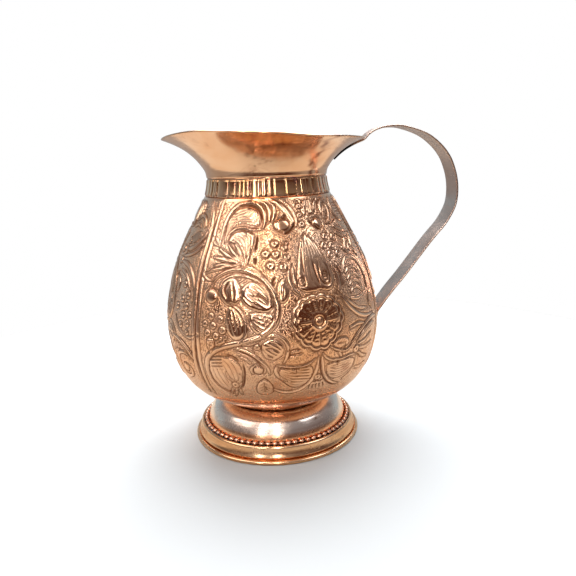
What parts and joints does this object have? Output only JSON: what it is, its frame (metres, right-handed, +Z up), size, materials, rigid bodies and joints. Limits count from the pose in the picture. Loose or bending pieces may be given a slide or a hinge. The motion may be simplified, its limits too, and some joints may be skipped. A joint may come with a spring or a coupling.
{
  "type": "copper water jug",
  "caption": "Footed round copper jug with a worked belly, a fluted neck collar, a flared mouth drawn out to a pouring lip and a strap handle, for carrying and pouring water.",
  "frame": {"origin": "On the table, under the middle of the jug's box. The jug's own axis stands 29.8 mm to the -X side of it.", "axes": "+Z up along the jug's axis, +X from the axis to the handle, so the pouring lip points along -X, and Y across the width."},
  "size_m": [0.2094, 0.1498, 0.2177],
  "materials": {
    "worked_copper": null,
    "polished_copper": null,
    "pale_copper": null,
    "strap_copper": null
  },
  "bodies": {
    "root": {"belly": "worked_copper", "neck_collar": "worked_copper", "mouth_flare": "polished_copper", "handle_strap": "strap_copper", "base_collar": "polished_copper", "foot_trumpet": "pale_copper", "bead_ring": "worked_copper", "foot_skirt": "polished_copper", "base_ring": "pale_copper"}
  },
  "joints": []
}
